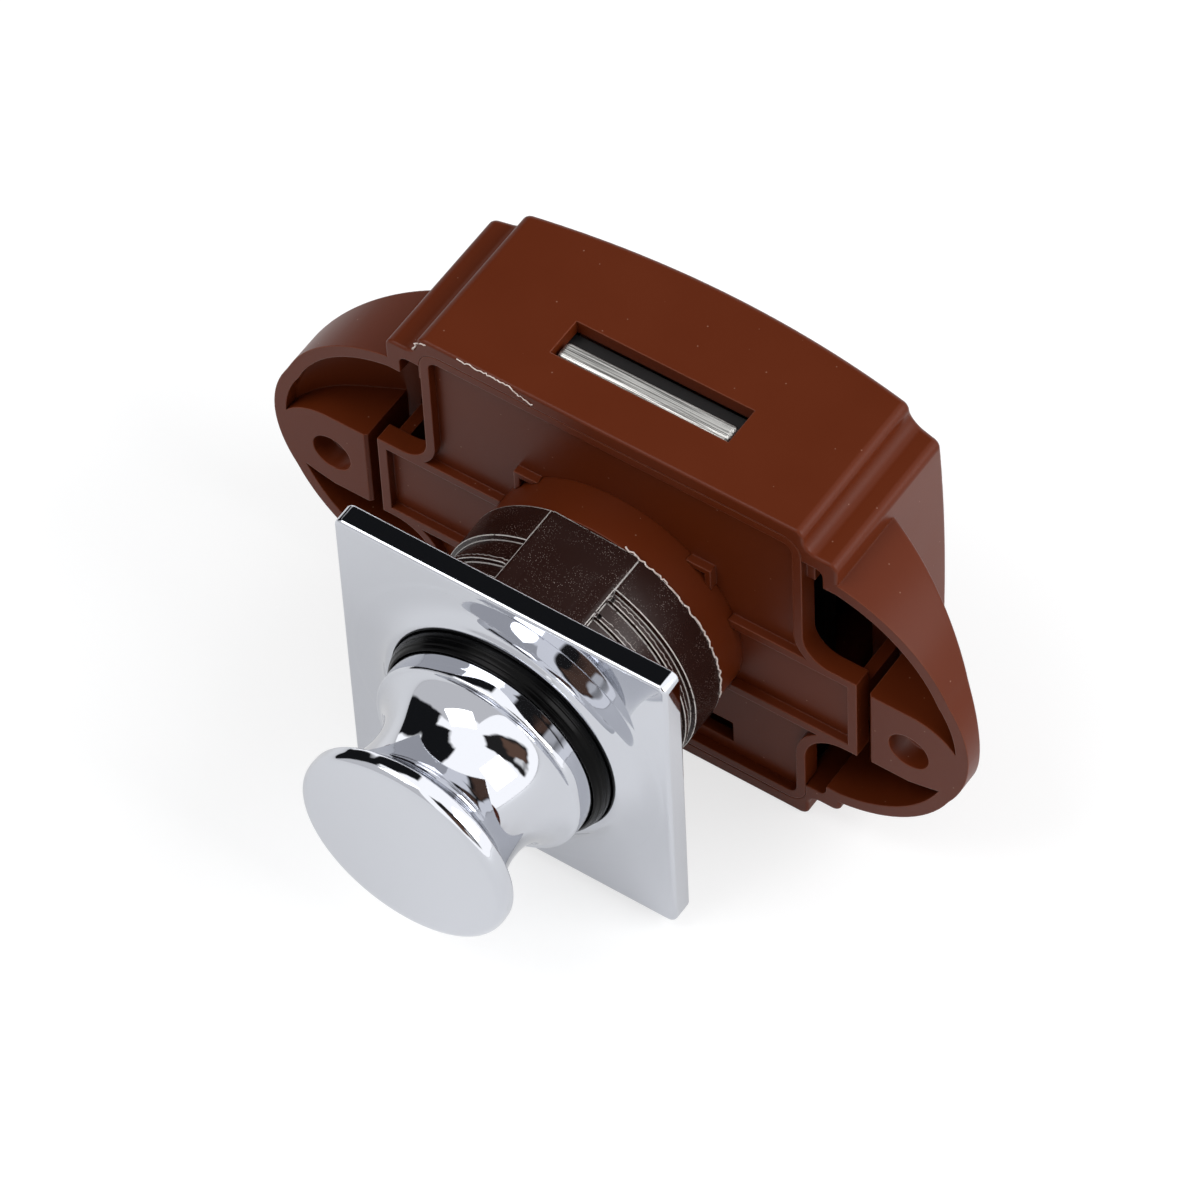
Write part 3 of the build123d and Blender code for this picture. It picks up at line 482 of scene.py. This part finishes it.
bpy.ops.object.modifier_apply(modifier=winding.name)
bpy.ops.object.mode_set(mode="EDIT")
bpy.ops.mesh.select_all(action="DESELECT")
bpy.ops.mesh.select_non_manifold()
bpy.ops.mesh.edge_face_add()
bpy.ops.object.mode_set(mode="OBJECT")

# The turning tool tore the rear edge of each crest into fine teeth, one at every other step of the winding.
random.seed(4)
for corner in tooth.data.vertices:
    section, place_in_it = divmod(corner.index, len(corners))
    torn_here = place_in_it == rear_corner and section % 2 == 1
    corner.select = torn_here and random.random() < tear_share
bpy.ops.object.mode_set(mode="EDIT")
bpy.ops.transform.translate(value=(0, tear_length, 0))
bpy.ops.object.mode_set(mode="OBJECT")
cut_flats(tooth, thread_cut)
bpy.ops.object.shade_smooth_by_angle(angle=curve_angle)
bpy.ops.object.select_all(action="DESELECT")
bpy.context.view_layer.objects.active = tube
cut_flats(tube, flat_height)

# The flats' faces run the sleeve's whole length over the cuts.
pads = []
for side in (-1, 1):
    outward = Vector((-side * math.sin(flat_turn), 0, side * math.cos(flat_turn)))
    along = Vector((side * math.cos(flat_turn), 0, side * math.sin(flat_turn)))
    start = Vector((0, sleeve_back - flat_inset, 0))
    outline = [start + along * across * mm + outward * up * mm for across, up in flat_outline]
    pad = line_of("sleeve_flat", outline + outline[:1])
    bpy.ops.object.mode_set(mode="EDIT")
    bpy.ops.mesh.select_all(action="SELECT")
    bpy.ops.mesh.remove_doubles(threshold=corner_gap)
    bpy.ops.mesh.edge_face_add()
    bpy.ops.mesh.extrude_region_move(
        TRANSFORM_OT_translate={"value": (0, sleeve_front - sleeve_back + 2 * flat_inset, 0)})
    bpy.ops.mesh.select_all(action="SELECT")
    bpy.ops.mesh.normals_make_consistent(inside=False)
    bpy.ops.object.mode_set(mode="OBJECT")
    pads.append(pad)
for part in (tooth, tube, *pads):
    part.select_set(True)
bpy.context.view_layer.objects.active = tube
bpy.ops.object.join()
sleeve = bpy.context.object
sleeve.name = "threaded_sleeve_moulding"
bpy.ops.object.shade_smooth_by_angle(angle=curve_angle)
even_flats(sleeve)
finish(sleeve, sleeve_nylon, "case")
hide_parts("threaded_sleeve")


# The rosette is zinc, die cast, polished and plated with bright chrome: a cold mirror whose reflections
# waver a little with the casting under it. It is a square plate with rounded edges, and round its hole a
# low mouth flares out of it.
rosette_side = 35.0 * mm
rosette_back = -14.8 * mm
rosette_front = -17.2 * mm
rosette_corner = 0.9 * mm
rosette_edge = 0.35 * mm
same_depth = 0.01 * mm         # corners whose depths differ by less are level
bevel_steps = 5
hole_radius = 13.6 * mm
hole_sides = 256
drill_length = 20 * mm
lathe_steps = 64
lathe_level = 2
metal_curve = math.radians(35)
waver_size = 5 * mm
waver_depth = 0.02 * mm
haze_size = 0.4 * mm
chrome_round = 0.12 * mm
chrome, tree = new_material("bright_chrome_on_polished_zinc")
place = add_node(tree, "ShaderNodeTexCoord")
waver = add_node(tree, "ShaderNodeTexNoise", {
    "Vector": place.outputs["Object"], "Scale": 1 / waver_size, "Detail": 1.0})
rounding = add_node(tree, "ShaderNodeBevel", {"Radius": chrome_round}, samples=4)
polish = add_node(tree, "ShaderNodeBump", {
    "Height": waver.outputs[0], "Strength": 0.35, "Distance": waver_depth, "Normal": rounding.outputs[0]})
haze = add_node(tree, "ShaderNodeTexNoise", {
    "Vector": place.outputs["Object"], "Scale": 1 / haze_size, "Detail": 3.0})
gloss = add_node(tree, "ShaderNodeMapRange", {"Value": haze.outputs[0], "To Min": 0.02, "To Max": 0.05})
plate = add_node(tree, "ShaderNodeBsdfPrincipled", {
    "Base Color": linear("#C7C9CF"), "Metallic": 1.0, "Roughness": gloss.outputs[0],
    "Normal": polish.outputs[0]})
add_node(tree, "ShaderNodeOutputMaterial", {"Surface": plate.outputs[0]})


def pick_edges(piece, wanted):
    """Select the edges whose two ends pass the test, and leave the piece in edit mode."""
    bpy.ops.object.mode_set(mode="EDIT")
    bpy.ops.mesh.select_mode(type="EDGE")
    bpy.ops.mesh.select_all(action="DESELECT")
    bpy.ops.object.mode_set(mode="OBJECT")
    for rib in piece.data.edges:
        rib.select = wanted(*(piece.data.vertices[i].co for i in rib.vertices))
    bpy.ops.object.mode_set(mode="EDIT")


def lathed(name, profile):
    """A closed profile of radii and depths in mm, as a lathe leaves it."""
    return turned(name, [(radius * mm, depth * mm) for radius, depth in profile], lathe_steps, lathe_level)


mouth_profile = (
    # radius and depth in mm: the flare, the rim, the bore and the foot in the plate's hole
    (17.0, -17.1), (16.7, -17.19), (15.6, -17.21), (14.6, -17.26), (13.8, -17.38), (13.2, -17.57),
    (12.8, -17.8), (12.55, -17.96), (12.3, -18.0), (12.0, -17.98), (11.83, -17.9), (11.8, -17.7),
    (11.8, -17.1), (11.8, -17.0), (11.9, -17.0), (12.1, -17.0), (12.1, -16.9), (12.1, -16.4), (12.2, -16.4),
    (13.5, -16.4), (13.55, -16.3), (13.55, -15.3), (13.6, -15.2), (16.9, -15.2), (17.0, -15.3),
    (17.0, -17.1))
mouth = lathed("rosette_mouth", mouth_profile)
bpy.ops.object.shade_smooth_by_angle(angle=metal_curve)
rosette_middle = (0, (rosette_back + rosette_front) / 2, 0)
bpy.ops.object.select_all(action="DESELECT")
bpy.ops.mesh.primitive_cube_add(size=1, location=rosette_middle)
rosette = bpy.context.object
rosette.name = "rosette_plated"
bpy.ops.object.mode_set(mode="EDIT")
bpy.ops.transform.resize(
    value=(rosette_side, rosette_back - rosette_front, rosette_side), center_override=rosette_middle)
bpy.ops.object.mode_set(mode="OBJECT")
bpy.ops.object.transform_apply(location=True, rotation=False, scale=True)
pick_edges(rosette, lambda one, other: abs(one.y - other.y) > same_depth)
bpy.ops.mesh.bevel(offset=rosette_corner, segments=bevel_steps)
bpy.ops.object.mode_set(mode="OBJECT")
pick_edges(rosette, lambda one, other: abs(one.y - other.y) < same_depth)
bpy.ops.mesh.bevel(offset=rosette_edge, segments=bevel_steps)
bpy.ops.mesh.select_mode(type="VERT")
bpy.ops.object.mode_set(mode="OBJECT")
bpy.ops.mesh.primitive_cylinder_add(
    vertices=hole_sides, radius=hole_radius, depth=drill_length, location=(0, rosette_front, 0),
    rotation=(math.pi / 2, 0, 0))
drill = bpy.context.object
bore = rosette.modifiers.new("bore", "BOOLEAN")
bore.object = drill
bore.solver = "EXACT"
bpy.context.view_layer.objects.active = rosette
bpy.ops.object.modifier_apply(modifier=bore.name)
bpy.data.objects.remove(drill)
rosette.select_set(True)
bpy.ops.object.shade_smooth_by_angle(angle=metal_curve)
even_flats(rosette)
mouth.select_set(True)
rosette.select_set(True)
bpy.ops.object.join()
finish(rosette, chrome, "case")
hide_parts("rosette")


# The knob is zinc too, turned to a thin disc, a drawn-in waist and a flange with a crisp edge, and has the
# rosette's chrome. Its skirt is hollow and its boss takes the stem.
knob_profile = (
    # radius and depth in mm: the disc, the waist, the flange, the skirt, and the boss with its bore
    (0, -33.6), (3.0, -33.6), (9.9, -33.6), (10.35, -33.55), (10.75, -33.25), (10.9, -32.8), (10.9, -32.5),
    (10.9, -32.0), (10.85, -31.8), (10.6, -31.62), (10.3, -31.55),
    (9.5, -31.1), (8.8, -30.2), (8.3, -28.9), (8.02, -27.3), (8.05, -25.6), (8.4, -24.2), (9.05, -23.05),
    (9.85, -22.25), (10.3, -21.95), (10.55, -21.86), (10.75, -21.85), (10.88, -21.7), (10.9, -21.4),
    (10.9, -20.0), (10.9, -14.3), (10.9, -14.1), (10.8, -14.0), (9.5, -14.0), (9.4, -14.1), (9.4, -18.8),
    (9.3, -18.9), (4.7, -18.9), (4.6, -18.8), (4.6, -15.3), (4.5, -15.2), (2.15, -15.2), (2.05, -15.3),
    (2.05, -26.3), (1.9, -26.4), (0, -26.4))
knob = lathed("knob_plated", knob_profile)
bpy.ops.object.shade_smooth()
finish(knob, chrome, "plunger")
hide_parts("knob")


# The bush is black acetal, moulded and left glossy. Its rounded nose closes the gap between the rosette's
# mouth and the knob, and two fine steps run round it.
acetal_grain = 0.8 * mm
acetal_depth = 0.01 * mm
bush_profile = (
    # radius and depth in mm: the nose with its steps, the shoulder behind the mouth, the back and the bore
    (10.95, -19.6), (11.0, -19.7), (11.15, -19.7), (11.28, -19.55), (11.38, -19.3), (11.4, -19.25),
    (11.5, -19.2), (11.6, -18.9), (11.64, -18.7), (11.66, -18.66), (11.72, -18.6), (11.75, -18.3),
    (11.75, -17.1), (11.76, -16.95), (11.95, -16.95), (12.0, -16.9), (12.0, -9.8), (11.9, -9.7),
    (11.05, -9.7), (10.95, -9.8), (10.95, -19.6))
acetal, tree = new_material("moulded_acetal_black")
place = add_node(tree, "ShaderNodeTexCoord")
haze = add_node(tree, "ShaderNodeTexNoise", {
    "Vector": place.outputs["Object"], "Scale": 1 / acetal_grain, "Detail": 3.0})
gloss = add_node(tree, "ShaderNodeMapRange", {"Value": haze.outputs[0], "To Min": 0.16, "To Max": 0.28})
tint = add_node(tree, "ShaderNodeMix", {
    mix_share: haze.outputs[0], mix_first: linear("#030303"), mix_second: linear("#060607")},
    data_type="RGBA")
ripple = add_node(tree, "ShaderNodeBump", {
    "Height": haze.outputs[0], "Strength": 0.05, "Distance": acetal_depth})
plastic = add_node(tree, "ShaderNodeBsdfPrincipled", {
    "Base Color": tint.outputs[mixed], "Roughness": gloss.outputs[0], "Normal": ripple.outputs[0],
    "IOR": 1.48, "Specular IOR Level": 0.07})
add_node(tree, "ShaderNodeOutputMaterial", {"Surface": plastic.outputs[0]})
bush = lathed("bush_moulding", bush_profile)
bpy.ops.object.shade_smooth_by_angle(angle=metal_curve)
finish(bush, acetal, "case")
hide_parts("knob_bush")


# The bolt is stamped steel, plated with dull nickel. Its rounded tip shows the lengthwise grain of the
# rolled strip as fine light and dark streaks.
streak_width = 0.11 * mm
streak_length = 9 * mm
streak_depth = 0.05 * mm
tip_reach = 0.65 * mm          # under the bolt's highest point
tip_round = 0.5 * mm
flat_angle = math.radians(0.5)
nickel, tree = new_material("rolled_steel_dull_nickel")
place = add_node(tree, "ShaderNodeTexCoord")
drawn = add_node(tree, "ShaderNodeMapping", {
    "Vector": place.outputs["Object"], "Scale": (1 / streak_length, 1 / streak_width, 1 / streak_width)})
streaks = add_node(tree, "ShaderNodeTexNoise", {"Vector": drawn.outputs[0], "Scale": 1.0, "Detail": 4.0})
depth = add_node(tree, "ShaderNodeMapRange", {
    "Value": streaks.outputs[0], "From Min": 0.40, "From Max": 0.56})
tone = add_node(tree, "ShaderNodeMix", {
    mix_share: depth.outputs[0], mix_first: linear("#5E5D5B"), mix_second: linear("#D2D1CE")},
    data_type="RGBA")
score = add_node(tree, "ShaderNodeBump", {
    "Height": streaks.outputs[0], "Strength": 0.8, "Distance": streak_depth})
gloss = add_node(tree, "ShaderNodeMapRange", {"Value": streaks.outputs[0], "To Min": 0.28, "To Max": 0.55})
metal = add_node(tree, "ShaderNodeBsdfPrincipled", {
    "Base Color": tone.outputs[mixed], "Metallic": 1.0, "Roughness": gloss.outputs[0],
    "Normal": score.outputs[0]})
add_node(tree, "ShaderNodeOutputMaterial", {"Surface": metal.outputs[0]})
bolt = piece_from("bolt_plate", "bolt_plate_stamping", nickel, "bolt")
tip_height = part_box("bolt_plate")[1].z
bpy.ops.mesh.customdata_custom_splitnormals_clear()
bpy.ops.object.mode_set(mode="EDIT")
bpy.ops.mesh.select_all(action="SELECT")
bpy.ops.mesh.dissolve_limited(angle_limit=flat_angle)
bpy.ops.object.mode_set(mode="OBJECT")
pick_edges(bolt, lambda one, other: (
    min(one.z, other.z) > tip_height - tip_reach and abs(one.y - other.y) < same_depth))
bpy.ops.mesh.bevel(offset=tip_round, segments=bevel_steps, clamp_overlap=True)
bpy.ops.mesh.select_mode(type="VERT")
bpy.ops.object.mode_set(mode="OBJECT")
bpy.ops.object.shade_smooth_by_angle(angle=metal_curve)


# Inside the case: the carrier is natural white acetal and the bolt's guide black acetal. The springs and
# the catch are drawn spring steel, the stem, nuts and screws zinc-plated, and the buffer is rubber.
gloss_spread = 0.08            # of a steel's roughness, either way
score_depth = 0.01 * mm
skin_depth = 0.02 * mm


def plated_steel(name, dark, light, rough, grain_size):
    """A drawn or plated steel whose tone changes over a grain of the given size."""
    material, tree = new_material(name)
    place = add_node(tree, "ShaderNodeTexCoord")
    grain = add_node(tree, "ShaderNodeTexNoise", {
        "Vector": place.outputs["Object"], "Scale": 1 / grain_size, "Detail": 4.0})
    tone = add_node(tree, "ShaderNodeMix", {
        mix_share: grain.outputs[0], mix_first: linear(dark), mix_second: linear(light)}, data_type="RGBA")
    gloss = add_node(tree, "ShaderNodeMapRange", {
        "Value": grain.outputs[0], "To Min": rough - gloss_spread, "To Max": rough + gloss_spread})
    score = add_node(tree, "ShaderNodeBump", {
        "Height": grain.outputs[0], "Strength": 0.2, "Distance": score_depth})
    metal = add_node(tree, "ShaderNodeBsdfPrincipled", {
        "Base Color": tone.outputs[mixed], "Metallic": 1.0, "Roughness": gloss.outputs[0],
        "Normal": score.outputs[0]})
    add_node(tree, "ShaderNodeOutputMaterial", {"Surface": metal.outputs[0]})
    return material


def soft_moulding(name, dark, light, rough, grain_size):
    """A moulded plastic or rubber whose tone changes over a grain of the given size."""
    material, tree = new_material(name)
    place = add_node(tree, "ShaderNodeTexCoord")
    grain = add_node(tree, "ShaderNodeTexNoise", {
        "Vector": place.outputs["Object"], "Scale": 1 / grain_size, "Detail": 3.0})
    tone = add_node(tree, "ShaderNodeMix", {
        mix_share: grain.outputs[0], mix_first: linear(dark), mix_second: linear(light)}, data_type="RGBA")
    skin = add_node(tree, "ShaderNodeBump", {
        "Height": grain.outputs[0], "Strength": 0.3, "Distance": skin_depth})
    plastic = add_node(tree, "ShaderNodeBsdfPrincipled", {
        "Base Color": tone.outputs[mixed], "Roughness": rough, "Normal": skin.outputs[0], "IOR": 1.48})
    add_node(tree, "ShaderNodeOutputMaterial", {"Surface": plastic.outputs[0]})
    return material


# Zinc plate is a cool, softly mottled grey, and drawn spring steel a darker one with a finer grain.
zinc = plated_steel("zinc_plated_steel", "#9DA2A8", "#C6CAD0", 0.30, 1.5 * mm)
spring_steel = plated_steel("drawn_spring_steel", "#6C6C6E", "#98989A", 0.32, 0.6 * mm)

# Both acetals look even and half matt under a fine peel, and the rubber has hardly any gloss.
white_acetal = soft_moulding("moulded_acetal_natural_white", "#DAD8D0", "#E9E7E0", 0.42, 0.5 * mm)
guide_acetal = soft_moulding("moulded_acetal_guide_black", "#0B0B0C", "#161617", 0.40, 0.5 * mm)
rubber = soft_moulding("nitrile_rubber_black", "#0E0E0E", "#1B1B1B", 0.75, 0.3 * mm)

inner_dress = {
    zinc: ("knob_stem", "stem_washer", "stem_lock_nut", "carrier_nut", "guide_screws", "spring_seat"),
    spring_steel: ("catch_wire", "catch_leaf", "bolt_steady_leaf"),
    white_acetal: ("carrier",),
    guide_acetal: ("bolt_guide",),
    rubber: ("bolt_buffer",),
}
coil = piece_from("main_spring", "main_spring_coil", spring_steel, "case")
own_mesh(coil)
for material, nodes in inner_dress.items():
    for node in nodes:
        for coat in frame["nodes"][node].material_slots:
            coat.material = material


# Slivers of moulding flash that the trimming left: torn plastic along the top front edge of the housing, at
# its left corner, and round the rear edge of the sleeve's right side. Tearing turned it white, so it shows
# as bright ragged threads.
flash_grain = 0.4 * mm
flash_curve = math.radians(40)
flash_stand = 0.03 * mm        # by which the sleeve's flash stands off its edge
flash_start, flash_end, flash_step = 16, 104, 6    # degrees from the top to the right, round that edge
torn_plastic, tree = new_material("torn_moulding_flash_whitened")
place = add_node(tree, "ShaderNodeTexCoord")
grain = add_node(tree, "ShaderNodeTexNoise", {
    "Vector": place.outputs["Object"], "Scale": 1 / flash_grain, "Detail": 3.0})
tone = add_node(tree, "ShaderNodeMix", {
    mix_share: grain.outputs[0], mix_first: linear("#A08070"), mix_second: linear("#FBF4F0")},
    data_type="RGBA")
plastic = add_node(tree, "ShaderNodeBsdfPrincipled", {"Base Color": tone.outputs[mixed], "Roughness": 0.5})
add_node(tree, "ShaderNodeOutputMaterial", {"Surface": plastic.outputs[0]})


def sliver(name, stops, steps, stray, thickness):
    """A torn thread of flash through some stops in mm, straying by so many mm, as a closed mesh."""
    points = []
    for start, end in zip(stops, stops[1:]):
        for step in range(steps):
            even = Vector(start).lerp(Vector(end), step / steps)
            points.append((even + Vector([random.uniform(-stray, stray) for axis in range(3)])) * mm)
    piece = line_of(name, points)
    bpy.ops.object.convert(target="CURVE")
    piece.data.bevel_depth = thickness
    piece.data.bevel_resolution = 1
    piece.data.use_fill_caps = True
    bpy.ops.object.convert(target="MESH")
    bpy.ops.object.transform_apply(location=True)
    bpy.ops.object.shade_smooth_by_angle(angle=flash_curve)
    finish(piece, torn_plastic, "case")


def rear_edge(degrees):
    """A place on the sleeve's rear edge in mm, by its turn in degrees from the top to the right."""
    turn = math.radians(degrees)
    radius = (sleeve_radius + flash_stand) / mm
    return (radius * math.sin(turn), sleeve_back / mm, radius * math.cos(turn))


random.seed(11)
edge_stops = (
    (-15.9, -0.02, 22.74), (-13.4, -0.03, 22.76), (-11.8, -0.02, 22.70), (-10.3, -0.03, 22.72),
    (-9.3, -0.05, 22.05), (-7.7, -0.05, 21.70))
corner_stops = ((-20.7, -0.02, 20.9), (-20.3, -0.03, 22.1), (-19.2, -0.02, 22.5))
sleeve_stops = [rear_edge(degrees) for degrees in range(flash_start, flash_end, flash_step)]
sliver(
    "flash_housing_edge", edge_stops, steps=9, stray=0.07, thickness=0.06 * mm)
sliver(
    "flash_housing_corner", corner_stops, steps=7, stray=0.09, thickness=0.08 * mm)
sliver(
    "flash_sleeve_edge", sleeve_stops, steps=5, stray=0.12, thickness=0.085 * mm)
